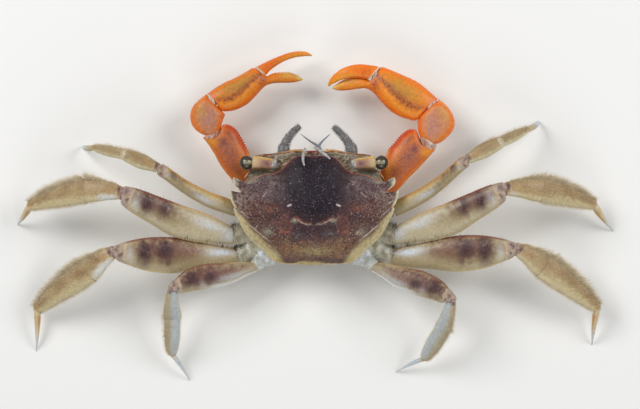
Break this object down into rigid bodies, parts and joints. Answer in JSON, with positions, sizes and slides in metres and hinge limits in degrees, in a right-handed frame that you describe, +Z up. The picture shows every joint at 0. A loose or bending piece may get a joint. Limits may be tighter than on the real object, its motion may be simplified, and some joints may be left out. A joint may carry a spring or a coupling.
{
  "type": "shore crab",
  "caption": "Life-size still model of a live mud-shore crab with a wide flat shell, orange claws and eight long striped walking legs spread on the floor.",
  "frame": {"origin": "on the floor, under the middle of the model's box", "axes": "+Z up, -Y is the way the crab faces, +X is its own left side"},
  "size_m": [0.079, 0.0434, 0.0103],
  "materials": {
    "shell": "satin, dark purple-brown with fine granules and pale marks",
    "belly": "satin, cream",
    "leg": "satin, tan and cream with purple-brown blotches",
    "claw": "smooth and slightly glossy, bright orange",
    "feeler": "dull, grey",
    "cornea": "wet gloss, dark green-grey"
  },
  "bodies": {
    "root": {"antenna_left": "feeler", "antenna_right": "feeler", "antennule_left": "feeler", "antennule_right": "feeler", "carapace": "shell", "claw_carpus_left": "claw", "claw_carpus_right": "claw", "claw_finger_left": "claw", "claw_finger_right": "claw", "claw_merus_left": "claw", "claw_merus_right": "claw", "claw_palm_left": "claw", "claw_palm_right": "claw", "eye_left": "cornea", "eye_right": "cornea", "eyestalk_left": "leg", "eyestalk_right": "leg", "leg1_carpus_left": "leg", "leg1_carpus_right": "leg", "leg1_dactylus_left": "leg", "leg1_dactylus_right": "leg", "leg1_merus_left": "leg", "leg1_merus_right": "leg", "leg1_propodus_left": "leg", "leg1_propodus_right": "leg", "leg2_carpus_left": "leg", "leg2_carpus_right": "leg", "leg2_dactylus_left": "leg", "leg2_dactylus_right": "leg", "leg2_merus_left": "leg", "leg2_merus_right": "leg", "leg2_propodus_left": "leg", "leg2_propodus_right": "leg", "leg3_carpus_left": "leg", "leg3_carpus_right": "leg", "leg3_dactylus_left": "leg", "leg3_dactylus_right": "leg", "leg3_merus_left": "leg", "leg3_merus_right": "leg", "leg3_propodus_left": "leg", "leg3_propodus_right": "leg", "leg4_carpus_left": "leg", "leg4_carpus_right": "leg", "leg4_dactylus_left": "leg", "leg4_dactylus_right": "leg", "leg4_merus_left": "leg", "leg4_merus_right": "leg", "leg4_propodus_left": "leg", "leg4_propodus_right": "leg", "maxilliped_left": "belly", "maxilliped_palp_left": "feeler", "maxilliped_palp_right": "feeler", "maxilliped_right": "belly", "pleon": "belly", "thorax": "belly"}
  },
  "joints": []
}
